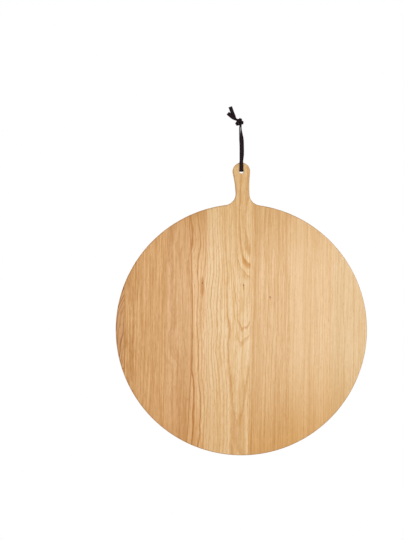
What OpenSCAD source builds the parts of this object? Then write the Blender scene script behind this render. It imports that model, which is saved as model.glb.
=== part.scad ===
/* [Board] */
// Diameter of the round board
board_d = 430; // [424:1:520]
// Thickness of the board
board_t = 18; // [14:0.5:28]
// Radius that rounds the edge all the way round
edge_r = 3; // [1:0.25:4]

/* [Handle] */
// Distance from the round edge of the board to the hole in the handle
handle_reach = 56; // [47:1:115]
// Width of the round head of the handle
head_w = 30; // [27:0.5:44]
// Width of the handle at its neck
neck_w = 23.5; // [18:0.5:26]
// Radius of the hollow between neck and board
shoulder_r = 20; // [14:1:26]
// Sideways lean of the handle, in degrees about the hole
handle_lean = 3; // [0:0.25:5]
// Diameter of the hole for the strap
hole_d = 7.4; // [7.2:0.1:11]
// Radius that rounds the rim of the hole
hole_rim_r = 1; // [0.5:0.1:1.5]

/* [Staves] */
// Distance from the middle of the board to the left joint of the handle's stave
handle_joint = 61; // [50:1:66]
// Width of the second stave, outside which the first takes what is left
stave_2_w = 72; // [50:1:76]
// Width of the third stave
stave_3_w = 68; // [50:1:72]
// Width of the stave that carries the handle
stave_4_w = 75; // [75:1:90]
// Width of the fifth stave
stave_5_w = 69; // [50:1:90]
// Width of the sixth stave, outside which the seventh takes what is left
stave_6_w = 73; // [50:1:90]
// Turn of the staves against the hanging board, in degrees
stave_turn = 0.7; // [0:0.1:2]

/* [Juice groove] */
// Distance from the edge of the board to the middle of the groove
groove_inset = 13; // [10:0.5:40]
// Width of the groove at the surface
groove_w = 9; // [7:0.5:14]
// Depth of the groove
groove_depth = 3; // [2.5:0.25:5]
// Radius of the groove's lower corners
groove_corner_r = 2.5; // [1:0.25:2.5]

/* [Strap] */
// Width of the leather strap
strap_w = 6.4; // [5:0.1:6.6]
// Thickness of the leather strap
strap_t = 1.6; // [1.2:0.1:1.8]
// Width of the strap where the knot draws it in
knot_strap_w = 4; // [3.6:0.1:4.1]
// Thickness of the strap where the knot squeezes it
knot_strap_t = 1.2; // [1:0.1:1.3]
// Height of the hanging eye above the hole
hang_drop = 74; // [70:1:110]
// Clear space between the strap and the wood
strap_clear = 0.35; // [0.3:0.05:0.45]
// Clear space between the layers of the knot
knot_clear = 0.52; // [0.52:0.01:0.6]
// Length of each flat run in the knot
knot_run = 5.8; // [5.8:0.1:8]
// Direction in which the strap enters the knot, in degrees from level
knot_heading = 86; // [66:1:88]

/* [Hidden] */
$fn = 180;
overcut = 1;
// Depth by which each hollow bites into the round that it runs into
blend_lap = 0.05;
board_r = board_d / 2;
head_r = head_w / 2;
half_t = board_t / 2;
half_neck = neck_w / 2;
groove_r = board_r - groove_inset;
hole_reach = board_r + handle_reach;
hole_z = -hang_drop;
stave_ends = 2 * board_d;

// Joint lines from left to right, with the board's two sides outside them
joint_3 = -handle_joint;
joint_2 = joint_3 - stave_3_w;
joint_1 = joint_2 - stave_2_w;
joint_4 = joint_3 + stave_4_w;
joint_5 = joint_4 + stave_5_w;
joint_6 = joint_5 + stave_6_w;

// The middle of the board as the leaning handle sees it, with the hole at zero
board_mid = hole_reach * [-sin(handle_lean), -cos(handle_lean)];

// Height at which the neck is narrowest, on the side given as 1 or -1
function neck_y(side) = board_mid.y
    + sqrt(pow(board_r + shoulder_r - blend_lap, 2) - pow(side * (half_neck + shoulder_r) - board_mid.x, 2));
// Radius of the long hollow from head to neck, tangent to both
function flank_r(side) = (pow(half_neck, 2) + pow(neck_y(side), 2) - pow(head_r - blend_lap, 2))
    / (2 * (head_r - blend_lap - half_neck));
// Middles of the two hollows of one side
function flank_mid(side) = [side * (half_neck + flank_r(side)), neck_y(side)];
function shoulder_mid(side) = [side * (half_neck + shoulder_r), neck_y(side)];
// Points where the outline passes from one curve into the next
function neck_point(side) = [side * half_neck, neck_y(side)];
function neck_inner(side) = [side * (half_neck - 2 * edge_r), neck_y(side)];
function head_point(side) = head_r * unit(flank_mid(side));
function rim_point(side) = board_mid + board_r * unit(shoulder_mid(side) - board_mid);

// Where the two sides of the neck meet on the handle's middle line
neck_axis = [0, (neck_y(1) + neck_y(-1)) / 2];

// Round blank of radius r with both edges rounded
module rounded_disc(r) {
    rotate_extrude() {
        translate([0, -half_t])
            square([r - edge_r, board_t]);
        translate([0, edge_r - half_t])
            square([r, board_t - 2 * edge_r]);
        for (end = [-1, 1])
            translate([r - edge_r, end * (half_t - edge_r)])
                circle(r = edge_r, $fn = 48);
    }
}

// Cutter for a hollow or a hole of radius r that leaves a rim rounded by rim
module hollow_cutter(r, rim) {
    rotate_extrude()
        difference() {
            translate([0, -half_t - overcut])
                square([r + rim, board_t + 2 * overcut]);
            translate([r, rim - half_t])
                square([rim + overcut, board_t - 2 * rim]);
            for (end = [-1, 1])
                translate([r + rim, end * (half_t - rim)])
                    circle(r = rim, $fn = 48);
        }
}

// Plate of full thickness with the given corners
module plate(corners) {
    translate([0, 0, -half_t])
        linear_extrude(board_t)
            polygon(corners);
}

// Head and neck of the handle, hole at zero, with the long hollow of each side cut out
module handle_top() {
    difference() {
        union() {
            rounded_disc(head_r);
            for (side = [-1, 1])
                plate([[0, 0], head_point(side), neck_point(side), neck_inner(side), neck_axis]);
        }
        for (side = [-1, 1])
            translate(flank_mid(side))
                hollow_cutter(flank_r(side), edge_r);
    }
}

// Round board with its two shoulders, as the leaning handle sees it
module board_and_shoulders() {
    difference() {
        union() {
            translate(board_mid)
                rounded_disc(board_r);
            for (side = [-1, 1])
                plate([neck_axis, neck_inner(side), neck_point(side), rim_point(side), board_mid]);
        }
        for (side = [-1, 1])
            translate(shoulder_mid(side))
                hollow_cutter(shoulder_r, edge_r);
    }
}

// Ring-shaped cutter for the groove in the rear face
module groove_cutter() {
    rotate_extrude()
        translate([groove_r, -half_t]) {
            translate([-groove_w / 2, -overcut])
                square([groove_w, groove_depth - groove_corner_r + overcut]);
            translate([groove_corner_r - groove_w / 2, 0])
                square([groove_w - 2 * groove_corner_r, groove_depth]);
            for (wall = [-1, 1])
                translate([wall * (groove_w / 2 - groove_corner_r), groove_depth - groove_corner_r])
                    circle(r = groove_corner_r, $fn = 48);
        }
}

// Whole board lying flat, centre at zero, plain face up and groove face down
module whole_board() {
    difference() {
        translate([0, hole_reach])
            rotate([0, 0, handle_lean]) {
                handle_top();
                board_and_shoulders();
            }
        groove_cutter();
        translate([0, hole_reach])
            hollow_cutter(hole_d / 2, hole_rim_r);
    }
}

// Slice of the hanging board between two joint lines
module stave(from_x, to_x) {
    translate([0, 0, hole_z - hole_reach])
        rotate([90, 0, 0])
            intersection() {
                whole_board();
                rotate([0, 0, -stave_turn])
                    translate([from_x, -stave_ends / 2, -board_t])
                        cube([to_x - from_x, stave_ends, 2 * board_t]);
            }
}

module stave_1_left_edge() {
    color("#b98652")
        stave(-board_d, joint_1);
}

module stave_2_left() {
    color("#c9965c")
        stave(joint_1, joint_2);
}

module stave_3_left_centre() {
    color("#cf9f66")
        stave(joint_2, joint_3);
}

module stave_4_handle() {
    color("#dcb27a")
        stave(joint_3, joint_4);
}

module stave_5_right_centre() {
    color("#d3a56b")
        stave(joint_4, joint_5);
}

module stave_6_right() {
    color("#dab27e")
        stave(joint_5, joint_6);
}

module stave_7_right_edge() {
    color("#d8b182")
        stave(joint_6, board_d);
}

// The strap is one length of leather. Its front end runs straight through the knot,
// and its rear end is tied round it in an overhand knot of four flat runs and three folds.
// A station is a place, a direction of travel, a face direction and a width.
layer = knot_strap_t + knot_clear;
corner = 0.3;
turn = 144;
fold_steps = 8;
entry_run = 10.5;
exit_run = 11.5;
// Where the two ends come together, just above the eye
entry_x = -1.5;
entry_z = 3;
// Layers of the four runs and of the front end, counted backwards from the eye
run_layers = [0.5, -2.5, 1.5, -1.5];
front_layer = -0.5;

function heading(a) = [cos(a), 0, sin(a)];
function run_heading(i) = knot_heading + i * turn;
function run_length(i) = i == 0 ? entry_run : i == 3 ? exit_run : knot_run;
function outward(i) = (i % 2 == 0 ? 1 : -1) * [0, 1, 0];
function fold_r(i) = abs(run_layers[i + 1] - run_layers[i]) * layer / 2;
function fold_axis(i) = heading(run_heading(i) + turn / 2);
function fold_out(i) = heading(run_heading(i) + turn / 2 - 90);
// Distance that the strap creeps along a fold's axis in an angle a
function creep(i, a) = fold_r(i) * a * PI / 180 / tan(turn / 2);
function run_end(i) = run_start(i) + run_length(i) * heading(run_heading(i));
function run_start(i) = i == 0 ? [entry_x, run_layers[0] * layer, entry_z]
    : run_end(i - 1) - 2 * fold_r(i - 1) * outward(i - 1) + creep(i - 1, 180) * fold_axis(i - 1);

// Stations of one flat run, and of the fold after it
function run_stations(i, steps) = [for (k = [0:steps])
    [run_start(i) + k / steps * run_length(i) * heading(run_heading(i)), heading(run_heading(i)),
        -outward(i), knot_strap_w]];
function fold_stations(i) = [for (k = [1:fold_steps - 1])
    let (a = 180 * k / fold_steps,
        spoke = cos(a) * outward(i) + sin(a) * fold_out(i),
        way = cos(a) * fold_out(i) - sin(a) * outward(i))
    [run_end(i) - fold_r(i) * outward(i) + fold_r(i) * spoke + creep(i, a) * fold_axis(i),
        sin(turn / 2) * way + cos(turn / 2) * fold_axis(i), -spoke, knot_strap_w]];
function knot_stations() = concat(
    run_stations(0, 2), fold_stations(0), run_stations(1, 1), fold_stations(1),
    run_stations(2, 1), fold_stations(2), run_stations(3, 2));

// Place and direction on a curve drawn to the corner point b
function curve_at(a, b, c, k) = (1 - k) * (1 - k) * a + 2 * k * (1 - k) * b + k * k * c;
function curve_way(a, b, c, k) = unit((1 - k) * (b - a) + k * (c - b));
function unit(v) = v / norm(v);
// Face direction nearest to v that is square to the way
function square_to(way, v) = unit(v - (v * way) * way);

// Free end of the strap that leaves the knot and bends to its own heading:
// length to the bend, length after it, heading in degrees, and drift backwards
tail_steps = 4;
rear_tail = [3, 14, 139, -2];
front_tail = [2, 22, 109, 1.5];
function tail_stations(from, tail, face) =
    let (bend = from + tail[0] * heading(run_heading(3)),
        tip = bend + tail[1] * heading(tail[2]) + [0, tail[3], 0])
    [for (k = [1:tail_steps])
        [curve_at(from, bend, tip, k / tail_steps), curve_way(from, bend, tip, k / tail_steps),
            face, knot_strap_w + (strap_w - knot_strap_w) * min(1, 2 * k / tail_steps)]];

// Front end inside the knot, from the entry to the exit, round the corner where the outer runs cross
front_steps = 6;
front_shift = [0, (front_layer - run_layers[0]) * layer, 0];
front_in = run_start(0) + front_shift;
front_out = [run_end(3).x, front_layer * layer, run_end(3).z];
exit_way = heading(run_heading(3));
entry_way = heading(run_heading(0));
// Length along the entry run to the place where the exit run crosses it
crossing = ((front_out.x - front_in.x) * exit_way.z - (front_out.z - front_in.z) * exit_way.x)
    / (entry_way.x * exit_way.z - entry_way.z * exit_way.x);
front_corner = front_in + crossing * entry_way;
front_end = concat(
    [for (k = [0:front_steps])
        [curve_at(front_in, front_corner, front_out, k / front_steps),
            curve_way(front_in, front_corner, front_out, k / front_steps), [0, 1, 0], knot_strap_w]],
    tail_stations(front_out, front_tail, [0, 1, 0]));

// Loop points chosen by hand, from below the knot to the top of the handle
front_points = [[-1.5, -1.5, -2], [-1, -2.5, -9], [-0.5, -4.5, -19], [0, -6.5, -31], [0, -9, -45]];
rear_points = [[-1.5, 1.5, -2], [-0.5, 2.5, -9], [1, 4.5, -19], [1.5, 6.5, -31], [1.5, 9, -45]];
bend_r = 2;
bend_steps = 3;
// The strap bears against the top of the hole, where its two edges come near the wall
in_hole_z = hole_z + sqrt(pow(hole_d / 2 - strap_clear, 2) - pow(strap_w / 2, 2)) - strap_t / 2 + corner;
face_y = half_t + strap_clear + strap_t / 2;
over_top_z = hole_z + head_r + 1;
// One strand along the handle's face, on the side given as -1 in front or 1 behind
function face_points(side) = [[0, side * face_y, over_top_z], [0, side * face_y, hole_z + head_r / 2]];
front_line = smooth(concat([front_in], front_points, face_points(-1)));
rear_line = smooth(concat([run_start(0)], rear_points, face_points(1)));
// Smooth curve through the chosen points, with one more point between each two
function halfway(line, i) =
    (9 * (line[i] + line[i + 1]) - line[max(i - 1, 0)] - line[min(i + 2, len(line) - 1)]) / 16;
function smooth(line) = [for (i = [0:len(line) - 1])
    each i < len(line) - 1 ? [line[i], halfway(line, i)] : [line[i]]];
function line_way(line, i) = unit(line[min(i + 1, len(line) - 1)] - line[max(i - 1, 0)]);
// Stations down a strand, with the face towards the board; the knot draws in the first few
draw_in = 6;
function strand(line, side) = [for (i = [1:len(line) - 1])
    let (way = line_way(line, i), w = knot_strap_w + (strap_w - knot_strap_w) * min(1, i / draw_in))
    [line[i], way, square_to(way, [0, -side, 0]), w]];
// Quarter bend from the face of the handle into the hole
function mouth_bend(side) = [for (k = [0:bend_steps])
    let (a = 90 * k / bend_steps)
    [[0, side * (face_y - bend_r + bend_r * cos(a)), in_hole_z + bend_r - bend_r * sin(a)],
        [0, -side * sin(a), -cos(a)], [0, -side * cos(a), sin(a)], strap_w]];

rear_end = tail_stations(run_end(3), rear_tail, [0, 1, 0]);
function backwards(list) = [for (i = [len(list) - 1:-1:0])
    [list[i][0], -list[i][1], list[i][2], list[i][3]]];
strap_stations = concat(
    backwards(front_end), strand(front_line, -1), mouth_bend(-1),
    backwards(concat(strand(rear_line, 1), mouth_bend(1))), knot_stations(), rear_end);

// Least gap of the strap to itself, on points across the stretches that don't follow each other
gap_step = 0.8;
function across_point(s, u) = s[0] + u * s[3] / 2 * cross(s[1], s[2]);
function band_points(list) = [for (i = [0:len(list) - 2])
    let (steps = ceil(norm(list[i + 1][0] - list[i][0]) / gap_step))
    for (k = [0:steps - 1]) for (u = [-1:0.5:1])
        (1 - k / steps) * across_point(list[i], u) + k / steps * across_point(list[i + 1], u)];
stretches = [for (list = [run_stations(0, 2), fold_stations(0), run_stations(1, 1), fold_stations(1),
    run_stations(2, 1), fold_stations(2), concat(run_stations(3, 2), rear_end)]) band_points(list)];
front_stretch = band_points(front_end);
function least(a, b) = min([for (p = a) for (q = b) norm(p - q)]);
least_gap = min(concat(
    [for (a = stretches) least(a, front_stretch)],
    [for (i = [0:len(stretches) - 3]) for (j = [i + 2:len(stretches) - 1])
        least(stretches[i], stretches[j])]))
    - knot_strap_t;
echo(least_strap_gap_mm = least_gap);

// Flat section of the strap with its four corners broken
function thick_at(w) = strap_t + (knot_strap_t - strap_t) * (strap_w - w) / (strap_w - knot_strap_w);
function section(w) = let (a = w / 2, b = thick_at(w) / 2)
    [[a - corner, -b], [a, corner - b], [a, b - corner], [a - corner, b],
        [corner - a, b], [-a, b - corner], [-a, corner - b], [corner - a, -b]];
sides = len(section(strap_w));
function ring(s) = let (across = cross(s[1], s[2]))
    [for (p = section(s[3])) s[0] + p.x * across + p.y * s[2]];

module leather_strap() {
    rings = len(strap_stations);
    walls = [for (i = [0:rings - 2]) for (j = [0:sides - 1]) for (half = [0, 1])
        let (a = i * sides + j, b = i * sides + (j + 1) % sides)
        half == 0 ? [a, a + sides, b] : [b, a + sides, b + sides]];
    caps = [for (j = [1:sides - 2]) for (last = [0, rings - 1])
        last == 0 ? [0, j, j + 1] : [last * sides, last * sides + j + 1, last * sides + j]];
    color("#3a2a2b")
        polyhedron([for (s = strap_stations) each ring(s)], concat(walls, caps));
}

stave_1_left_edge();
stave_2_left();
stave_3_left_centre();
stave_4_handle();
stave_5_right_centre();
stave_6_right();
stave_7_right_edge();
leather_strap();
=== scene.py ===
import math

import bpy
import numpy as np
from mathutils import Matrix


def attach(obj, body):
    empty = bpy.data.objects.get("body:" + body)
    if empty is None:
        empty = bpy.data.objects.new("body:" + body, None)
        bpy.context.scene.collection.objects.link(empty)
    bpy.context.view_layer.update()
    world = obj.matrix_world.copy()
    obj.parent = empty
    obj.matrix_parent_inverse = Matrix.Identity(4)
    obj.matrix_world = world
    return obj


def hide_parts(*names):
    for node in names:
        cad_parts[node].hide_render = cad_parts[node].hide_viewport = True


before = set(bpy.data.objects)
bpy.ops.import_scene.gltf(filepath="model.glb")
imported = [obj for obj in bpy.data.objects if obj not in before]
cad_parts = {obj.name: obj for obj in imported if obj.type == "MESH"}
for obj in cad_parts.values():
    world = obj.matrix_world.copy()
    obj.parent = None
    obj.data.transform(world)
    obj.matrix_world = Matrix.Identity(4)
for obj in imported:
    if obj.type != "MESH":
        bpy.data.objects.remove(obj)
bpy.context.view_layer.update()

scene = bpy.context.scene

# the board hangs upright with its plain face to the front; lengths are in metres
board = {
    "discMiddle": (0.0, 0.0, -0.345),
    "halfThick": 0.009,
    "grooveRadius": 0.202,
    "staveTurn": math.radians(0.7),
}

# camera: straight at the plain face with a long lens, board low and to the right of the middle
cameraSet = {
    "distance": 4.0,
    "sensorHeight": 36,
    "clipEnd": 50,
    "framePixels": (404, 540),
    "metresPerPixel": 0.001714,
    "discPixel": (241.3, 329.6),
}


def makeCamera(s):
    wide, high = s["framePixels"]
    scale = s["metresPerPixel"]
    lens = bpy.data.cameras.new("frontLens")
    lens.sensor_fit = "VERTICAL"
    lens.sensor_height = s["sensorHeight"]
    lens.lens = s["sensorHeight"] * s["distance"] / (high * scale)
    lens.clip_end = s["clipEnd"]
    lens.dof.use_dof = False
    camera = bpy.data.objects.new("frontCamera", lens)
    scene.collection.objects.link(camera)
    middleX = board["discMiddle"][0] + (wide / 2 - s["discPixel"][0]) * scale
    middleZ = board["discMiddle"][2] + (s["discPixel"][1] - high / 2) * scale
    camera.location = (middleX, -s["distance"], middleZ)
    camera.rotation_euler = (math.pi / 2, 0, 0)
    scene.camera = camera


makeCamera(cameraSet)
print("camera set")

# leather strap: one flat length, passed through the hole and tied; made as two halves that meet in the hole
strapSet = {
    "width": 0.0064,
    "thick": 0.0016,
    "knotWidth": 0.004,
    "knotThick": 0.0014,
    "cornerRound": 0.00045,
    # knot: four flat runs in layers, each turned against the last; headings in degrees from level
    "knotLayer": 0.00172,
    "knotRun": 0.0058,
    "entryRun": 0.0105,
    "exitRun": 0.0115,
    "knotHeading": 86,
    "turn": 144,
    "entry": (-0.0015, 0.003),
    "runLayers": (0.5, -2.5, 1.5, -1.5),
    "frontLayer": -0.5,
    "rearTail": {"toBend": 0.003, "afterBend": 0.014, "heading": 139, "drift": -0.002},
    "frontTail": {"toBend": 0.002, "afterBend": 0.022, "heading": 109, "drift": 0.0015},
    # way through the hole and up both faces of the handle
    "holeZ": -0.074,
    "holeRadius": 0.0037,
    "headRadius": 0.015,
    "overHead": 0.001,
    "clear": 0.00035,
    "cornerCut": 0.0003,
    "bendRadius": 0.002,
    "frontPoints": [(-0.0015, -0.0015, -0.002), (-0.001, -0.0025, -0.009), (-0.0005, -0.0045, -0.019),
                    (0, -0.0065, -0.031), (0, -0.009, -0.045)],
    "rearPoints": [(-0.0015, 0.0015, -0.002), (-0.0005, 0.0025, -0.009), (0.001, 0.0045, -0.019),
                   (0.0015, 0.0065, -0.031), (0.0015, 0.009, -0.045)],
    # length below the knot over which it draws the strap in
    "drawnIn": 0.022,
    "drawnInCurve": 0.8,
    # painted highlight below the knot: a stripe, in shares of the drawn-in length and of the width
    "highlightPeak": 0.3,
    "highlightRise": 2.2,
    "highlightCross": 0.9,
    "highlightWidth": 0.26,
    # fineness of the mesh, and the two small rings that round off each cut end
    "samePlace": 1e-7,
    "step": 0.00045,
    "easeLength": 0.0012,
    "endSteps": (0.0001, 0.00002),
    "endInsets": (0.80, 0.95),
}


def heading(degrees):
    return np.array([math.cos(math.radians(degrees)), 0, math.sin(math.radians(degrees))])


def unit(v):
    return v / np.linalg.norm(v, axis=-1, keepdims=True)


# part of v that is square to the way, at length 1
def squareTo(way, v):
    return unit(v - (v * way).sum(1, keepdims=True) * way)


# straight stretch: places at even shares of the length, the same face and width all along
def flatRun(start, way, length, face, width, count=12):
    share = np.linspace(0, 1, count)[:, None]
    return np.hstack([start + share * length * way, np.tile(face, (count, 1)), np.full((count, 1), width)])


# fold: half a turn about an axis in the strap's plane, creeping along the axis as it goes round
def foldOver(start, outward, foldOut, axis, radius, halfTurn, width, count=28):
    a = np.linspace(0, math.pi, count)[1:-1, None]
    spoke = np.cos(a) * outward + np.sin(a) * foldOut
    place = start - radius * outward + radius * spoke + radius * a / math.tan(halfTurn) * axis
    return np.hstack([place, -spoke, np.full((count - 2, 1), width)])


# curve drawn to a corner point: the quadratic blend of its two ends and the corner
def cornerCurve(a, b, c, face, widthFrom, widthTo, count=24):
    k = np.linspace(0, 1, count)[:, None]
    place = (1 - k) ** 2 * a + 2 * k * (1 - k) * b + k * k * c
    width = widthFrom + (widthTo - widthFrom) * np.minimum(1, 2 * k)
    return np.hstack([place, np.tile(face, (count, 1)), width])


# smooth line: cubic between each two points, with slopes from the points on either side
def smoothLine(points, count=16):
    p = np.vstack([2 * points[0] - points[1], points, 2 * points[-1] - points[-2]])
    k = np.linspace(0, 1, count, endpoint=False)[None, :, None]
    a, b, c, d = (p[i:len(p) - 3 + i][:, None, :] for i in range(4))
    squares = (2 * a - 5 * b + 4 * c - d) * k ** 2
    cubes = (3 * b - a - 3 * c + d) * k ** 3
    line = 0.5 * (2 * b + (c - a) * k + squares + cubes)
    return np.vstack([line.reshape(-1, 3), points[-1]])


# strand beside the handle: out of the hole in a quarter bend, up the face, then on to the knot
def strandStations(s, side, knotStart, points, holeCount=8, bendCount=14):
    faceY = board["halfThick"] + s["clear"] + s["thick"] / 2
    bend = s["bendRadius"]
    reach = math.sqrt((s["holeRadius"] - s["clear"]) ** 2 - (s["width"] / 2) ** 2)
    inHole = s["holeZ"] + reach - s["thick"] / 2 + s["cornerCut"]
    out = np.linspace(0, faceY - bend, holeCount)[:, None]
    through = np.hstack([0 * out, side * out, np.full_like(out, inHole)])[:-1]
    a = np.linspace(math.pi / 2, 0, bendCount)[:, None]
    mouth = np.hstack([0 * a, side * (faceY - bend + bend * np.cos(a)), inHole + bend - bend * np.sin(a)])
    upFace = np.array([(0, side * faceY, s["holeZ"] + s["headRadius"] / 2),
                       (0, side * faceY, s["holeZ"] + s["headRadius"] + s["overHead"])])
    line = smoothLine(np.vstack([upFace, np.array(points)[::-1], knotStart]))
    place = np.vstack([through, mouth, line])
    face = np.vstack([np.tile((0.0, 0, 1), (len(through), 1)),
                      np.hstack([0 * a, -side * np.cos(a), np.sin(a)]),
                      np.tile((0.0, -side, 0), (len(line), 1))])
    face = squareTo(unit(np.gradient(place, axis=0)), face)
    far = np.clip(np.linalg.norm(place - knotStart, axis=1)[:, None] / s["drawnIn"], 0, 1)
    width = s["knotWidth"] + (s["width"] - s["knotWidth"]) * far ** s["drawnInCurve"]
    return np.hstack([place, face, width])[:-1]


# the knot's own tied half: four flat runs in layers, with three folds between them
def tiedStations(s):
    halfTurn = math.radians(s["turn"] / 2)
    lengths = (s["entryRun"], s["knotRun"], s["knotRun"], s["exitRun"])
    start = np.array([s["entry"][0], s["runLayers"][0] * s["knotLayer"], s["entry"][1]])
    pieces = []
    for i in range(4):
        angle = s["knotHeading"] + i * s["turn"]
        outward = np.array([0, 1.0, 0]) * (-1) ** i
        pieces.append(flatRun(start, heading(angle), lengths[i], -outward, s["knotWidth"]))
        end = start + lengths[i] * heading(angle)
        if i < 3:
            radius = abs(s["runLayers"][i + 1] - s["runLayers"][i]) * s["knotLayer"] / 2
            axis = heading(angle + s["turn"] / 2)
            foldOut = heading(angle + s["turn"] / 2 - 90)
            pieces.append(foldOver(end, outward, foldOut, axis, radius, halfTurn, s["knotWidth"]))
            start = end - 2 * radius * outward + radius * math.pi / math.tan(halfTurn) * axis
    return pieces, end


# even steps along the whole route, with every kink eased over a short length
def evenStations(raw, s):
    gap = np.linalg.norm(np.diff(raw[:, :3], axis=0), axis=1)
    raw = raw[np.r_[True, gap > s["samePlace"]]]
    along = np.r_[0, np.cumsum(np.linalg.norm(np.diff(raw[:, :3], axis=0), axis=1))]
    count = int(round(along[-1] / s["step"])) + 1
    even = np.linspace(0, along[-1], count)
    stations = np.stack([np.interp(even, along, column) for column in raw.T], axis=1)
    reach = int(round(s["easeLength"] / s["step"]))
    weights = np.hanning(2 * reach + 3)[1:-1]
    weights = weights / weights.sum()
    padded = np.pad(stations, ((reach, reach), (0, 0)), mode="reflect", reflect_type="odd")
    return np.stack([np.convolve(column, weights, mode="valid") for column in padded.T], axis=1)


# flat section with round corners: straight sides joined by quarter circles, counted round once;
# each row says which corner it belongs to, and which way it lies from that corner's middle
def strapSection(perCorner=5, perSide=6):
    quarter = np.linspace(0, math.pi / 2, perCorner)
    corner = np.stack([np.cos(quarter), np.sin(quarter)], axis=1)
    turned = [corner, corner[:, ::-1] * (-1, 1), -corner, corner[:, ::-1] * (1, -1)]
    signs = [(1, 1), (-1, 1), (-1, -1), (1, -1)]
    rows = []
    for i in range(4):
        rows.append(np.hstack([np.tile(signs[i], (perCorner, 1)), turned[i]]))
        if i in (0, 2):
            up = 1 - i
            share = np.linspace(up, -up, perSide + 2)[1:-1, None]
            rows.append(np.hstack([share, np.full_like(share, up), 0 * share, np.full_like(share, up)]))
    return np.vstack(rows)


# ribbon: each section point sits beside its station, across by half the width and out by half the thickness
def makeRibbon(name, s, stations):
    place, width = stations[:, :3], stations[:, 6:7]
    way = unit(np.gradient(place, axis=0))
    face = squareTo(way, stations[:, 3:6])
    across = np.cross(way, face)
    drawnIn = np.clip((s["width"] - width) / (s["width"] - s["knotWidth"]), 0, 1)
    thick = s["thick"] + (s["knotThick"] - s["thick"]) * drawnIn
    along = np.r_[0, np.cumsum(np.linalg.norm(np.diff(place, axis=0), axis=1))]
    section = strapSection()
    count, points = len(place), len(section)
    corner = s["cornerRound"]
    sideways = section[None, :, 0] * (width / 2 - corner) + section[None, :, 2] * corner
    outwards = section[None, :, 1] * (thick / 2 - corner) + section[None, :, 3] * corner
    # two smaller rings a little further out close each end
    ends = np.array(s["endSteps"])[:, None]
    insets = np.array(s["endInsets"])[:, None]
    sideways = np.vstack([sideways[:1] * insets, sideways, sideways[-1:] * insets[::-1]])
    outwards = np.vstack([outwards[:1] * insets, outwards, outwards[-1:] * insets[::-1]])
    rows = np.r_[0, 0, np.arange(count), count - 1, count - 1]
    shift = np.vstack([-ends, np.zeros((count, 1)), ends[::-1]])
    middle = place[rows] + shift * way[rows]
    surface = (middle[:, None, :] + sideways[:, :, None] * across[rows][:, None, :]
               + outwards[:, :, None] * face[rows][:, None, :])
    rings = count + 4
    i, j = np.meshgrid(np.arange(rings - 1), np.arange(points), indexing="ij")
    a = i * points + j
    b = i * points + (j + 1) % points
    quads = np.stack([a, b, b + points, a + points], axis=-1).reshape(-1, 4)
    caps = [list(range(points - 1, -1, -1)), list(range((rings - 1) * points, rings * points))]
    mesh = bpy.data.meshes.new(name)
    mesh.from_pydata(surface.reshape(-1, 3).tolist(), [], quads.tolist() + caps)
    mesh.polygons.foreach_set("use_smooth", np.r_[np.ones(len(quads), bool), np.zeros(2, bool)])
    # faces of one whole ring show whether the section was counted the outward way
    whole, after = surface[3], surface[4]
    normals = np.cross(whole[1:] - whole[:-1], after[1:] - whole[:-1])
    if (normals * (whole[:-1] - middle[3])).sum() < 0:
        mesh.flip_normals()
    # the map runs along the strap and across it, both in metres
    loops = np.zeros(len(mesh.loops), dtype=np.int32)
    mesh.loops.foreach_get("vertex_index", loops)
    ring, spot = loops // points, loops % points
    mapped = np.stack([along[rows][ring], sideways[ring, spot]], axis=1)
    mesh.uv_layers.new(name="strapMap").data.foreach_set("uv", mapped.astype(np.float32).ravel())
    # 0 on the strap's middle line, 1 at its edges and on its cut ends
    rim = np.clip(2 * np.abs(sideways) / width[rows], 0, 1)
    rim[:2] = 1
    rim[-2:] = 1
    paintPoints(mesh, "cutEdge", rim)
    # below the knot a painted highlight swells as a stripe, crosses the strand and fades, as far as the
    # strand is drawn in
    out = (1 - drawnIn) * (place[:, 2:3] < s["entry"][1])
    swell = (out / s["highlightPeak"] * np.exp(1 - out / s["highlightPeak"])) ** s["highlightRise"] * (1 - out)
    offStripe = sideways / width[rows] - (s["highlightCross"] * (out - s["highlightPeak"]))[rows]
    paintPoints(mesh, "paintedHighlight", swell[rows] * np.exp(-(offStripe / s["highlightWidth"]) ** 2))
    mesh.update()
    piece = bpy.data.objects.new(name, mesh)
    scene.collection.objects.link(piece)
    return piece


def paintPoints(mesh, name, values):
    layer = mesh.attributes.new(name, "FLOAT", "POINT")
    layer.data.foreach_set("value", values.astype(np.float32).ravel())


# a tail's bend lies straight on from the knot; its tip lies further along a heading of its own
def tailCurve(s, start, way, tail, face):
    bend = start + tail["toBend"] * way
    tip = bend + tail["afterBend"] * heading(tail["heading"]) + (0, tail["drift"], 0)
    return cornerCurve(start, bend, tip, face, s["knotWidth"], s["width"])


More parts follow.
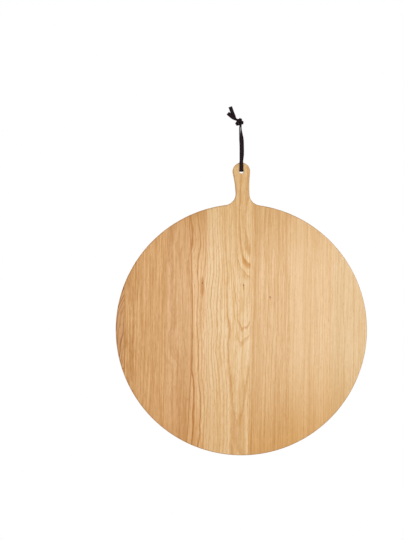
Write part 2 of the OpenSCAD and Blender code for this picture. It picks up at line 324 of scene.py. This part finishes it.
def makeStrap(s):
    tied, rearOut = tiedStations(s)
    entryWay = heading(s["knotHeading"])
    exitWay = heading(s["knotHeading"] + 3 * s["turn"])
    rearFace = np.array([0, 1.0, 0])
    rearStart = tied[0][0, :3]
    frontY = s["frontLayer"] * s["knotLayer"]
    frontStart = np.array([rearStart[0], frontY, rearStart[2]])
    frontOut = np.array([rearOut[0], frontY, rearOut[2]])
    # inside the knot the front half turns where its entry and exit lines cross
    gap = frontOut - frontStart
    crossing = gap[0] * exitWay[2] - gap[2] * exitWay[0]
    crossing = crossing / (entryWay[0] * exitWay[2] - entryWay[2] * exitWay[0])
    frontCorner = frontStart + crossing * entryWay
    front = np.vstack([
        strandStations(s, -1, frontStart, s["frontPoints"]),
        cornerCurve(frontStart, frontCorner, frontOut, rearFace, s["knotWidth"], s["knotWidth"]),
        tailCurve(s, frontOut, exitWay, s["frontTail"], rearFace),
    ])
    rear = np.vstack([
        strandStations(s, 1, rearStart, s["rearPoints"]),
        *tied,
        tailCurve(s, rearOut, exitWay, s["rearTail"], rearFace),
    ])
    pieces = []
    for name, raw, side in (("strapFrontHalf", front, -1), ("strapRearHalf", rear, 1)):
        stations = evenStations(raw, s)
        piece = makeRibbon(name, s, stations)
        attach(piece, "strap")
        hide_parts("leather_strap")
        pieces.append(piece)
    return pieces


strapPieces = makeStrap(strapSet)
print("strap made")


# shader helpers: most add one node and give back its output
def addNode(tree, kind, **settings):
    node = tree.nodes.new(kind)
    for key, value in settings.items():
        setattr(node, key, value)
    return node


def put(tree, socket, value):
    if isinstance(value, bpy.types.NodeSocket):
        tree.links.new(value, socket)
    else:
        socket.default_value = value


def calc(tree, operation, *values, clamp=False):
    node = addNode(tree, "ShaderNodeMath", operation=operation, use_clamp=clamp)
    for i, value in enumerate(values):
        put(tree, node.inputs[i], value)
    return node.outputs[0]


def times(tree, a, b, clamp=False):
    return calc(tree, "MULTIPLY", a, b, clamp=clamp)


def timesPlus(tree, a, b, c, clamp=False):
    return calc(tree, "MULTIPLY_ADD", a, b, c, clamp=clamp)


def minus(tree, a, b):
    return calc(tree, "SUBTRACT", a, b)


# noise runs from 0 to 1; this sets its middle to 0
def centred(tree, value):
    return minus(tree, value, 0.5)


def ease(tree, value, low, high, outLow=0.0, outHigh=1.0):
    node = addNode(tree, "ShaderNodeMapRange", interpolation_type="SMOOTHSTEP")
    for i, given in enumerate((value, low, high, outLow, outHigh)):
        put(tree, node.inputs[i], given)
    return node.outputs[0]


def mixColour(tree, share, a, b, mode="MIX"):
    node = addNode(tree, "ShaderNodeMix", data_type="RGBA", blend_type=mode, clamp_factor=True)
    put(tree, node.inputs[0], share)
    put(tree, node.inputs[6], a)
    put(tree, node.inputs[7], b)
    return node.outputs[2]


def vector(tree, x, y, z):
    node = addNode(tree, "ShaderNodeCombineXYZ")
    for i, value in enumerate((x, y, z)):
        put(tree, node.inputs[i], value)
    return node.outputs[0]


def splitUp(tree, given):
    node = addNode(tree, "ShaderNodeSeparateXYZ")
    put(tree, node.inputs[0], given)
    return node.outputs


def noise(tree, place, detail=2.0, rough=0.5):
    node = addNode(tree, "ShaderNodeTexNoise")
    put(tree, node.inputs["Vector"], place)
    node.inputs["Scale"].default_value = 1
    node.inputs["Detail"].default_value = detail
    node.inputs["Roughness"].default_value = rough
    return node.outputs["Fac"]


def noiseOnLine(tree, place):
    node = addNode(tree, "ShaderNodeTexNoise", noise_dimensions="1D")
    put(tree, node.inputs["W"], place)
    node.inputs["Scale"].default_value = 1
    return node.outputs["Fac"]


def cells(tree, place, feature="F1"):
    node = addNode(tree, "ShaderNodeTexVoronoi", feature=feature)
    put(tree, node.inputs["Vector"], place)
    node.inputs["Scale"].default_value = 1
    return node.outputs["Distance"]


def addBump(tree, shader, height, depth, strength):
    bump = addNode(tree, "ShaderNodeBump")
    bump.inputs["Distance"].default_value = depth
    bump.inputs["Strength"].default_value = strength
    tree.links.new(height, bump.inputs["Height"])
    tree.links.new(bump.outputs[0], shader.inputs["Normal"])


def newMaterial(name):
    material = bpy.data.materials.new(name)
    material.use_nodes = True
    return material, material.node_tree, material.node_tree.nodes["Principled BSDF"]


def newGroup(name, vectors, values, results):
    group = bpy.data.node_groups.new(name, "ShaderNodeTree")
    for label in vectors:
        group.interface.new_socket(name=label, in_out="INPUT", socket_type="NodeSocketVector")
    for label in values:
        group.interface.new_socket(name=label, in_out="INPUT", socket_type="NodeSocketFloat")
    for label in results:
        group.interface.new_socket(name=label, in_out="OUTPUT", socket_type="NodeSocketFloat")
    return group, group.nodes.new("NodeGroupInput").outputs, group.nodes.new("NodeGroupOutput").inputs


def useGroup(tree, group, values):
    node = addNode(tree, "ShaderNodeGroup", node_tree=group)
    for label, value in values.items():
        put(tree, node.inputs[label], value)
    return node.outputs


# screen tone from 0 to 255 as a linear colour
def srgb(r, g, b):
    c = np.array([r, g, b]) / 255
    return tuple(np.where(c <= 0.04045, c / 12.92, ((c + 0.055) / 1.055) ** 2.4)) + (1.0,)


# place in a stave's own axes: across it, through the thickness, and up from the disc's middle;
# across is measured from the stave's leaning line
def staveAxes(g, place):
    x, y, z = splitUp(g, place)
    z = minus(g, z, board["discMiddle"][2])
    return minus(g, x, times(g, z, math.tan(board["staveTurn"]))), y, z


def stretched(g, x, y, z, scale):
    return vector(g, times(g, x, scale[0]), times(g, y, scale[1]), times(g, z, scale[2]))


# squared distance from an oval's middle, 1 on the oval itself
def ovalDistance(g, x, z, halfX, halfZ):
    a, b = calc(g, "DIVIDE", x, halfX), calc(g, "DIVIDE", z, halfZ)
    return timesPlus(g, a, a, times(g, b, b))


# how oak grows; a scale gives the spots in a metre across, through the thickness and along
oakGrowth = {
    "slowScale": (9, 9, 4.5),
    "waveScale": (34, 20, 13),
    "waveShare": 0.45,
    "rippleScale": (90, 60, 30),
    "rippleSize": 0.0022,
    "taperFrom": -0.08,
    "taperTo": 0.19,
    "taperEase": (0.05, 0.06),
    "knotPullHalf": (0.006, 0.022),
    "knotCoreHalf": (0.0009, 0.0013),
    "knotCoreFade": (0.4, 1.3),
    "haloFray": 0.012,
    "haloDrop": 1.5,
    "haloStretch": 5,
    "haloFade": (0.15, 1.0),
    "yearScale": 0.37,
    "yearSpread": 2.6,
    "earlyStart": (0.91, 0.99),
    "earlyFull": 0.04,
    "poreScale": (1900, 1900, 95),
    "poreFade": (0.14, 0.32),
    "tickScale": (480, 480, 80),
    "tickFade": (0.10, 0.32),
    "dashScale": (700, 700, 70),
    "dashRough": 0.55,
    # rays are counted in a radian round the pith, and in a metre out from it and along
    "rayScale": (75, 40, 60),
    "rayFade": (0.10, 0.26),
    "broadScale": (110, 40, 1.6),
    "fineScale": (470, 470, 11),
    "fineRough": 0.6,
    "fineShare": 1.5,
    "seedStep": 3.7,
}


# oak figure: growth rings round a pith line that tapers and wanders along the stave, so that flat faces show
# arches, rift faces straight lines and sawn ends arcs; pores lie in the early wood, rays point to the pith
def makeOakFigure(o):
    g, given, out = newGroup(
        "oakFigure", ["Place"],
        ["Middle", "Pith Across", "Pith Depth", "Drift", "Taper", "Ring Width", "Line Width", "Wander",
         "Knot Across", "Knot Height", "Knot Pull", "Halo Size", "Broad Streaks", "Seed"],
        ["Early", "Ring Tone", "Pores", "Ticks", "Rays", "Dashes", "Streak", "Knot", "Halo"])
    x, y, z = staveAxes(g, given["Place"])
    seededZ = timesPlus(g, given["Seed"], o["seedStep"], z)
    # slow wander of the rings along the tree, then shorter waves, then ripples
    slow = centred(g, noise(g, stretched(g, x, y, seededZ, o["slowScale"])))
    wave = centred(g, noise(g, stretched(g, x, y, seededZ, o["waveScale"])))
    ripple = centred(g, noise(g, stretched(g, x, y, seededZ, o["rippleScale"]), detail=3))
    sway = times(g, timesPlus(g, wave, o["waveShare"], slow), given["Wander"])
    sway = timesPlus(g, ripple, o["rippleSize"], sway)
    # the pith drifts and the tree tapers in the middle stretch; above and below, the grain runs straight
    rising = calc(g, "SMOOTH_MAX", z, o["taperFrom"], o["taperEase"][0])
    rising = calc(g, "SMOOTH_MIN", rising, o["taperTo"], o["taperEase"][1])
    pith = timesPlus(g, rising, given["Drift"], given["Pith Across"])
    dx = minus(g, minus(g, x, given["Middle"]), pith)
    dy = minus(g, y, given["Pith Depth"])
    radius = calc(g, "SQRT", timesPlus(g, dx, dx, times(g, dy, dy)))
    radius = calc(g, "ADD", timesPlus(g, rising, given["Taper"], radius), sway)
    # a pin knot pulls the rings round it, darkens the wood below it and has a small dark core
    knotX = minus(g, x, given["Knot Across"])
    knotZ = minus(g, z, given["Knot Height"])
    swell = calc(g, "EXPONENT", times(g, ovalDistance(g, knotX, knotZ, *o["knotPullHalf"]), -1))
    radius = timesPlus(g, swell, given["Knot Pull"], radius)
    core = ovalDistance(g, knotX, knotZ, *o["knotCoreHalf"])
    g.links.new(ease(g, core, *o["knotCoreFade"], 1, 0), out["Knot"])
    frayed = timesPlus(g, wave, o["haloFray"], knotX)
    dropped = timesPlus(g, given["Halo Size"], o["haloDrop"], knotZ)
    haloHeight = times(g, given["Halo Size"], o["haloStretch"])
    halo = ovalDistance(g, frayed, dropped, given["Halo Size"], haloHeight)
    g.links.new(ease(g, halo, *o["haloFade"], 1, 0), out["Halo"])
    # good and bad years make the rings uneven
    count = calc(g, "DIVIDE", radius, given["Ring Width"])
    years = noiseOnLine(g, timesPlus(g, count, o["yearScale"], given["Seed"]))
    count = timesPlus(g, years, o["yearSpread"], count)
    year = addNode(g, "ShaderNodeTexWhiteNoise", noise_dimensions="1D")
    g.links.new(calc(g, "ADD", calc(g, "FLOOR", count), given["Seed"]), year.inputs["W"])
    g.links.new(year.outputs["Value"], out["Ring Tone"])
    part = calc(g, "FRACT", count)
    rise = ease(g, part, *o["earlyStart"])
    fall = ease(g, part, o["earlyFull"], given["Line Width"], 1, 0)
    g.links.new(calc(g, "MAXIMUM", rise, fall), out["Early"])
    # pores are long thin tubes; they gather in short ticks, and from further off run together into dashes
    tubes = cells(g, stretched(g, x, y, seededZ, o["poreScale"]))
    g.links.new(ease(g, tubes, *o["poreFade"], 1, 0), out["Pores"])
    gathered = cells(g, stretched(g, x, y, seededZ, o["tickScale"]))
    g.links.new(ease(g, gathered, *o["tickFade"], 1, 0), out["Ticks"])
    dash = noise(g, stretched(g, x, y, seededZ, o["dashScale"]), rough=o["dashRough"])
    g.links.new(centred(g, dash), out["Dashes"])
    # rays are thin plates that stand on the pith, tall along the grain
    angle = calc(g, "ARCTAN2", dx, dy)
    plates = cells(g, stretched(g, angle, radius, seededZ, o["rayScale"]))
    g.links.new(ease(g, plates, *o["rayFade"], 1, 0), out["Rays"])
    broad = centred(g, noise(g, stretched(g, x, y, seededZ, o["broadScale"])))
    fine = centred(g, noise(g, stretched(g, x, y, seededZ, o["fineScale"]), rough=o["fineRough"]))
    streak = timesPlus(g, fine, o["fineShare"], times(g, broad, given["Broad Streaks"]))
    g.links.new(streak, out["Streak"])
    return g


zoneSet = {"wobbleScale": (30, 30, 18), "borderHalf": (0.0003, 0.0014)}


# two tones in one stave: the border bows along the grain and is drawn by one dark year
def makeOakSplit(s):
    g, given, out = newGroup("oakSplit", ["Place"], ["At", "Bow", "Wobble", "Blur"], ["Right Side", "Border"])
    x, y, z = staveAxes(g, given["Place"])
    border = timesPlus(g, times(g, z, z), given["Bow"], given["At"])
    wobble = centred(g, noise(g, stretched(g, x, y, z, s["wobbleScale"]), detail=4))
    off = minus(g, x, timesPlus(g, wobble, given["Wobble"], border))
    g.links.new(ease(g, off, times(g, given["Blur"], -1), given["Blur"]), out["Right Side"])
    g.links.new(ease(g, calc(g, "ABSOLUTE", off), *s["borderHalf"], 1, 0), out["Border"])
    return g


heightMaskSet = {"cloudScale": (16, 16, 6), "cloudSize": 0.06, "foot": (-0.23, -0.01), "top": (0.09, 0.26)}


# masks by height for painted shade: the foot and the top of the board are darkened and warmed
def makeOakHeightMasks(s):
    g, given, out = newGroup("oakHeightMasks", ["Place"], [], ["Foot", "Top"])
    x, y, z = staveAxes(g, given["Place"])
    cloud = centred(g, noise(g, stretched(g, x, y, z, s["cloudScale"])))
    height = timesPlus(g, cloud, s["cloudSize"], z)
    g.links.new(ease(g, height, *s["foot"], 1, 0), out["Foot"])
    g.links.new(ease(g, height, *s["top"]), out["Top"])
    return g


# slopes are shares of the surface's direction; walls lie that far from the groove's middle line, at the rear
cutSet = {"endSlope": (0.35, 0.95), "roundSlope": (0.45, 0.99), "rimSlope": (0.02, 0.35), "rimShadeShare": 0.3,
          "wallInside": (0.0014, 0.0030), "wallOutside": (0.0046, 0.0052), "rearward": (0.004, 0.0055)}


# finish and painted shade of the cut shapes: end wood drinks more oil, rounded edges get painted shade, and
# the groove's walls are darkened, partly as router burn and partly as painted shade
def makeCutFinishAndShade(s):
    g, given, out = newGroup("cutFinishAndShade", ["Place", "Way Out"], [], ["End Wood", "Edge Shade", "Wall Burn And Shade"])
    _, wayY, wayZ = splitUp(g, given["Way Out"])
    g.links.new(ease(g, calc(g, "ABSOLUTE", wayZ), *s["endSlope"]), out["End Wood"])
    # painted shade on the rounded edges, with a share of it on the flat rim
    flat = calc(g, "ABSOLUTE", wayY)
    edge = ease(g, flat, *s["roundSlope"], 1, 0)
    g.links.new(times(g, edge, ease(g, flat, *s["rimSlope"], s["rimShadeShare"], 1)), out["Edge Shade"])
    # groove walls at the rear: darkened partly as router burn and partly as painted shade of the steep walls
    x, y, z = splitUp(g, given["Place"])
    z = minus(g, z, board["discMiddle"][2])
    radius = calc(g, "SQRT", timesPlus(g, x, x, times(g, z, z)))
    offRing = calc(g, "ABSOLUTE", minus(g, radius, board["grooveRadius"]))
    wall = times(g, ease(g, offRing, *s["wallInside"]), ease(g, offRing, *s["wallOutside"], 1, 0))
    g.links.new(times(g, wall, ease(g, y, *s["rearward"])), out["Wall Burn And Shade"])
    return g


oakFigure = makeOakFigure(oakGrowth)
oakSplit = makeOakSplit(zoneSet)
oakHeightMasks = makeOakHeightMasks(heightMaskSet)
cutFinishAndShade = makeCutFinishAndShade(cutSet)

# one entry a stave: its tones, how it was sawn from the tree, and the zones to the left of its main tone;
# pith is across and deep, knot is across, up and its pull on the rings
staves = {
    "stave_1_left_edge": {
        "pale": (222, 172, 120), "brown": (204, 150, 96), "line": (148, 94, 60), "lines": 1.5,
        "foot": 0.0, "top": 0.0, "middle": -0.208, "pith": (0.020, 0.016), "taper": 0.16,
        "ring": 0.0030, "lineWidth": 0.4, "wander": 0.026, "broad": 0.5, "seed": 1.3},
    "stave_2_left": {
        "pale": (233, 186, 134), "brown": (205, 152, 92), "line": (190, 130, 66), "lines": 0.4,
        "foot": 0.3, "top": 0.2, "middle": -0.165, "pith": (0.075, 0.060), "taper": 0.01,
        "ring": 0.0027, "lineWidth": 0.35, "wander": 0.010, "broad": 0.2, "seed": 2.1,
        "zones": [{"pale": (234, 188, 132), "brown": (188, 131, 72), "lines": 1.3, "at": -0.179,
                   "bow": 0.05, "wobble": 0.004, "blur": 0.006}]},
    "stave_3_left_centre": {
        "pale": (252, 223, 181), "brown": (235, 194, 143), "line": (192, 130, 70), "lines": 1.3,
        "foot": 0.7, "top": 1.0, "middle": -0.095, "pith": (-0.055, 0.035), "taper": 0.03,
        "ring": 0.0058, "lineWidth": 0.55, "wander": 0.034, "broad": 0.4, "seed": 3.4,
        "knot": (-0.0673, 0.0798, 0.0045), "halo": 0.0046,
        "zones": [{"pale": (236, 191, 143), "brown": (212, 163, 109), "lines": 0.35, "at": -0.0845,
                   "bow": -0.18, "wobble": 0.004, "blur": 0.0015, "border": 0.8},
                  {"pale": (246, 207, 160), "brown": (225, 177, 123), "lines": 1.1, "at": -0.064,
                   "bow": 0.05, "wobble": 0.045, "blur": 0.0025, "border": 0.2, "stain": 0.7}]},
    "stave_4_handle": {
        "pale": (247, 216, 174), "brown": (228, 185, 128), "line": (204, 142, 66), "lines": 1.0,
        "topLines": 0.5, "footLines": 0.55, "foot": 0.5, "top": 0.8, "middle": -0.0235,
        "pith": (0.0245, 0.021), "drift": 0.11, "taper": -0.10,
        "ring": 0.0044, "lineWidth": 0.40, "wander": 0.020, "seed": 4.8,
        "knot": (0.003, 0.076, 0.004), "halo": 0.0016,
        "zones": [{"pale": (245, 213, 170), "brown": (233, 194, 145), "lines": 1.1, "at": -0.042,
                   "bow": 0.0, "wobble": 0.004, "blur": 0.004}]},
    "stave_5_right_centre": {
        "pale": (243, 206, 161), "brown": (226, 182, 131), "line": (211, 161, 94), "lines": 1.05,
        "foot": 0.95, "top": 1.0, "middle": 0.048, "pith": (0.090, 0.050), "taper": 0.008,
        "ring": 0.0034, "lineWidth": 0.3, "wander": 0.010, "seed": 5.2,
        "knot": (0.048, 0.0558, 0.0012), "halo": 0.001},
    "stave_6_right": {
        "pale": (243, 208, 163), "brown": (230, 188, 138), "line": (221, 170, 106), "lines": 0.7,
        "foot": 1.05, "top": 1.0, "middle": 0.119, "pith": (0.100, 0.060), "taper": 0.006,
        "ring": 0.0026, "lineWidth": 0.35, "wander": 0.006, "seed": 6.7,
        "zones": [{"pale": (245, 210, 167), "brown": (234, 195, 146), "lines": 0.5, "at": 0.115,
                   "bow": 0.0, "wobble": 0.004, "blur": 0.003}]},
    "stave_7_right_edge": {
        "pale": (242, 211, 168), "brown": (230, 193, 145), "line": (219, 176, 115), "lines": 0.7,
        "foot": 1.15, "top": 0.3, "middle": 0.185, "pith": (-0.095, 0.070), "taper": 0.006,
        "ring": 0.0024, "lineWidth": 0.35, "wander": 0.006, "broad": 0.5, "seed": 7.9},
}

# what all staves share: tones laid over the figure, and how strongly each mark shows
oakFinish = {
    "streaks": 1.7,
    "dashes": 1.4,
    "faintYear": 0.3,
    "lineFull": 0.85,
    "lineBreaks": -1.2,
    "poreTone": (160, 102, 44),
    "poresInEarly": 0.45,
    "poresInLate": 0.08,
    "ticks": 1.2,
    "ticksInPores": 0.4,
    "ticksBetween": 0.3,
    "rays": 0.18,
    "stainTone": (205, 152, 92),
    "haloTone": (194, 128, 62),
    "halo": 0.7,
    "knotTone": (88, 48, 24),
    "knot": 0.8,
    "footShadeTone": (0.83, 0.69, 0.46, 1),
    "topShadeTone": (0.83, 0.75, 0.59, 1),
    "endTone": (186, 130, 76),
    "endWood": 0.45,
    "edgeShadeTone": (0.78, 0.70, 0.58, 1),
    "wallBurnAndShadeTone": (172, 115, 50),
    "wallBurnAndShade": 0.75,
    "roughness": 0.52,
    "poreRoughness": 0.22,
    "specular": 0.25,
    "poreDepth": 0.00004,
    "earlyDepth": 0.25,
    "relief": 0.35,
}


# tones and line strength across a stave: each zone from the right takes over to the left of its border
def zoneTones(t, s, place):
    pale, brown, lines = srgb(*s["pale"]), srgb(*s["brown"]), s["lines"]
    borders, stain = 0.0, 0.0
    for zone in reversed(s.get("zones", [])):
        split = useGroup(t, oakSplit, {"Place": place, "At": zone["at"], "Bow": zone["bow"],
                                       "Wobble": zone["wobble"], "Blur": zone["blur"]})
        right = split["Right Side"]
        pale = mixColour(t, right, srgb(*zone["pale"]), pale)
        brown = mixColour(t, right, srgb(*zone["brown"]), brown)
        lines = ease(t, right, 0, 1, zone["lines"], lines)
        stain = ease(t, right, 0, 1, zone.get("stain", 0.0), stain)
        borders = timesPlus(t, split["Border"], zone.get("border", 0.0), borders, clamp=True)
    return pale, brown, lines, borders, stain


def makeOak(name, s, finish):
    material, t, shader = newMaterial("oak_" + name)
    seen = addNode(t, "ShaderNodeTexCoord").outputs
    place = seen["Object"]
    knotAcross, knotHeight, knotPull = s.get("knot", (0, 0, 0))
    figure = useGroup(t, oakFigure, {
        "Place": place, "Middle": s["middle"], "Pith Across": s["pith"][0], "Pith Depth": s["pith"][1],
        "Drift": s.get("drift", 0.0), "Taper": s["taper"], "Ring Width": s["ring"],
        "Line Width": s["lineWidth"], "Wander": s["wander"], "Knot Across": knotAcross,
        "Knot Height": knotHeight, "Knot Pull": knotPull, "Halo Size": s.get("halo", 0.001),
        "Broad Streaks": s.get("broad", 1.0), "Seed": s["seed"]})
    byHeight = useGroup(t, oakHeightMasks, {"Place": place})
    cut = useGroup(t, cutFinishAndShade, {"Place": place, "Way Out": seen["Normal"]})
    pale, brown, lines, borders, stain = zoneTones(t, s, place)
    early, dashes, pores = figure["Early"], figure["Dashes"], figure["Pores"]
    lineTone = srgb(*s["line"])
    tone = timesPlus(t, dashes, finish["dashes"], times(t, figure["Streak"], finish["streaks"]))
    colour = mixColour(t, calc(t, "ADD", tone, 0.5, clamp=True), brown, pale)
    # early wood is a row of open pores, so its lines break up into dashes
    lineShare = times(t, times(t, early, lines), ease(t, figure["Ring Tone"], 0, 1, finish["faintYear"], 1))
    broken = timesPlus(t, dashes, finish["lineBreaks"], finish["lineFull"])
    lineShare = times(t, lineShare, broken, clamp=True)
    lineShare = times(t, lineShare, ease(t, byHeight["Top"], 0, 1, 1, s.get("topLines", 1.0)))
    lineShare = times(t, lineShare, ease(t, byHeight["Foot"], 0, 1, 1, s.get("footLines", 1.0)))
    colour = mixColour(t, lineShare, colour, lineTone)
    poreShare = times(t, pores, timesPlus(t, early, finish["poresInEarly"], finish["poresInLate"]))
    colour = mixColour(t, poreShare, colour, srgb(*finish["poreTone"]))
    tickShare = timesPlus(t, pores, finish["ticksInPores"], finish["ticksBetween"])
    tickShare = times(t, times(t, figure["Ticks"], tickShare), finish["ticks"])
    colour = mixColour(t, tickShare, colour, lineTone)
    colour = mixColour(t, times(t, figure["Rays"], finish["rays"]), colour, pale)
    colour = mixColour(t, borders, colour, lineTone)
    colour = mixColour(t, times(t, byHeight["Top"], stain), colour, srgb(*finish["stainTone"]))
    if knotPull:
        colour = mixColour(t, times(t, figure["Halo"], finish["halo"]), colour, srgb(*finish["haloTone"]))
        colour = mixColour(t, times(t, figure["Knot"], finish["knot"]), colour, srgb(*finish["knotTone"]))
    # painted shade: the foot and the top of the board darkened and warmed by height
    colour = mixColour(t, times(t, byHeight["Foot"], s["foot"]), colour, finish["footShadeTone"], "MULTIPLY")
    colour = mixColour(t, times(t, byHeight["Top"], s["top"]), colour, finish["topShadeTone"], "MULTIPLY")
    colour = mixColour(t, times(t, cut["End Wood"], finish["endWood"]), colour, srgb(*finish["endTone"]))
    # painted shade: the rounded edges darkened
    colour = mixColour(t, cut["Edge Shade"], colour, finish["edgeShadeTone"], "MULTIPLY")
    # groove walls darkened, partly router burn and partly painted shade
    colour = mixColour(t, times(t, cut["Wall Burn And Shade"], finish["wallBurnAndShade"]), colour, srgb(*finish["wallBurnAndShadeTone"]))
    t.links.new(colour, shader.inputs["Base Color"])
    rough = timesPlus(t, poreShare, finish["poreRoughness"], finish["roughness"])
    t.links.new(rough, shader.inputs["Roughness"])
    shader.inputs["Specular IOR Level"].default_value = finish["specular"]
    height = minus(t, 1, timesPlus(t, early, finish["earlyDepth"], poreShare))
    addBump(t, shader, height, finish["poreDepth"], finish["relief"])
    return material


for name, setting in staves.items():
    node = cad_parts[name]
    node.data.materials.clear()
    node.data.materials.append(makeOak(name, setting, oakFinish))
print("oak staves finished")

# a scale gives the spots in a metre along the strap and across it
leatherSet = {
    "face": (47, 31, 36),
    "dark": (28, 16, 20),
    "streakScale": (60, 900),
    "streakFade": (0.3, 0.7),
    "rubbed": (66, 50, 54),
    "wornScale": (130, 260),
    "wornLayer": 3,
    "wornFade": (0.5, 0.75),
    "wornShare": 0.25,
    "grainSize": 0.00042,
    "creaseFade": (0.02, 0.22),
    "creaseShadeShare": 0.5,
    "highlightTone": (190, 186, 190),
    "highlightShare": 0.9,
    "edge": (8, 2, 4),
    "edgeShadeFade": (0.30, 1.0),
    "roughness": 0.42,
    "wornRoughness": 0.22,
    "specular": 0.07,
    "grainDepth": 0.0001,
    "streakDepth": 0.5,
    "relief": 0.9,
}


# waxed leather: small pebbled cells, long faint streaks, and dark sealed edges with painted shade over the
# rounded face towards them
def makeLeather(s):
    material, t, shader = newMaterial("waxedLeather")
    along, sideways, _ = splitUp(t, addNode(t, "ShaderNodeUVMap", uv_map="strapMap").outputs[0])
    edge = addNode(t, "ShaderNodeAttribute", attribute_name="cutEdge").outputs["Fac"]
    paintedHighlight = addNode(t, "ShaderNodeAttribute", attribute_name="paintedHighlight").outputs["Fac"]
    grain = 1 / s["grainSize"]
    pebble = cells(t, stretched(t, along, sideways, 0, (grain, grain, 0)), "DISTANCE_TO_EDGE")
    crease = ease(t, pebble, *s["creaseFade"])
    streak = noise(t, stretched(t, along, sideways, 0, (*s["streakScale"], 0)), detail=4)
    worn = noise(t, stretched(t, along, sideways, s["wornLayer"], (*s["wornScale"], 1)), detail=3)
    dark = srgb(*s["dark"])
    colour = mixColour(t, ease(t, streak, *s["streakFade"]), dark, srgb(*s["face"]))
    colour = mixColour(t, times(t, ease(t, worn, *s["wornFade"]), s["wornShare"]), colour, srgb(*s["rubbed"]))
    # painted shade in the creases between the pebbled cells
    colour = mixColour(t, times(t, minus(t, 1, crease), s["creaseShadeShare"]), colour, dark)
    # painted highlight: the strap lightened to pale grey in a stripe below the knot
    colour = mixColour(t, times(t, paintedHighlight, s["highlightShare"]), colour, srgb(*s["highlightTone"]))
    # dark sealed edges, and painted shade darkening the rounded face towards them
    colour = mixColour(t, ease(t, edge, *s["edgeShadeFade"]), colour, srgb(*s["edge"]))
    t.links.new(colour, shader.inputs["Base Color"])
    t.links.new(timesPlus(t, worn, s["wornRoughness"], s["roughness"]), shader.inputs["Roughness"])
    shader.inputs["Specular IOR Level"].default_value = s["specular"]
    addBump(t, shader, timesPlus(t, streak, s["streakDepth"], crease), s["grainDepth"], s["relief"])
    return material


leather = makeLeather(leatherSet)
for piece in strapPieces:
    piece.data.materials.append(leather)
print("leather finished")

# stage: pale floor well below, white all round, and for each face a large soft lamp and a weak one
stageSet = {
    "floorZ": -2.2,
    "floorHalf": 10.0,
    "floorTone": (240, 240, 240),
    "floorGlow": 0.26,
    "floorRoughness": 0.9,
    "floorFade": (0.8, 3.6),
    "ambient": 0.42,
    "aimAboveMiddle": 0.1,
    # place, size and watts of each lamp
    "lamps": [((1.5, -2.3, 1.0), 1.5, 42), ((-1.6, -2.3, 0.2), 1.4, 8),
              ((-1.5, 2.3, 1.0), 1.5, 42), ((1.6, 2.3, 0.2), 1.4, 8)],
}


# 1 for rays that show the background, straight or in a gloss, and 0 for those that only light the object
def seenRay(tree):
    path = addNode(tree, "ShaderNodeLightPath").outputs
    mirrored = calc(tree, "MAXIMUM", path["Is Glossy Ray"], path["Is Transmission Ray"])
    return calc(tree, "MAXIMUM", path["Is Camera Ray"], mirrored)


# away from the object the floor fades into the white all round, for what is seen but not for its light
def makeFloor(s):
    half, z = s["floorHalf"], s["floorZ"]
    mesh = bpy.data.meshes.new("paleFloor")
    corners = [(-half, -half, z), (half, -half, z), (half, half, z), (-half, half, z)]
    mesh.from_pydata(corners, [], [(0, 1, 2, 3)])
    floor = bpy.data.objects.new("paleFloor", mesh)
    scene.collection.objects.link(floor)
    material, t, shader = newMaterial("paleFloor")
    x, y, _ = splitUp(t, addNode(t, "ShaderNodeTexCoord").outputs["Object"])
    away = calc(t, "SQRT", timesPlus(t, x, x, times(t, y, y)))
    faded = times(t, ease(t, away, *s["floorFade"]), seenRay(t))
    t.links.new(mixColour(t, faded, srgb(*s["floorTone"]), (0, 0, 0, 1)), shader.inputs["Base Color"])
    t.links.new(ease(t, faded, 0, 1, s["floorGlow"], 1), shader.inputs["Emission Strength"])
    shader.inputs["Emission Color"].default_value = (1, 1, 1, 1)
    shader.inputs["Specular IOR Level"].default_value = 0
    shader.inputs["Roughness"].default_value = s["floorRoughness"]
    mesh.materials.append(material)


def makeLight(s):
    target = np.array(board["discMiddle"]) + (0, 0, s["aimAboveMiddle"])
    for i, (place, size, watts) in enumerate(s["lamps"]):
        lamp = bpy.data.lights.new("softLamp%d" % (i + 1), "AREA")
        lamp.size = size
        lamp.energy = watts
        holder = bpy.data.objects.new(lamp.name, lamp)
        scene.collection.objects.link(holder)
        aim = target - place
        tilt = math.acos(-aim[2] / np.linalg.norm(aim))
        holder.location = place
        holder.rotation_euler = (tilt, 0, math.atan2(aim[1], aim[0]) - math.pi / 2)
    world = bpy.data.worlds.new("whiteRoom")
    scene.world = world
    world.use_nodes = True
    t = world.node_tree
    back = t.nodes["Background"]
    back.inputs["Color"].default_value = (1, 1, 1, 1)
    t.links.new(ease(t, seenRay(t), 0, 1, s["ambient"], 1), back.inputs["Strength"])


makeFloor(stageSet)
makeLight(stageSet)
scene.view_settings.view_transform = "Standard"
print("stage set")
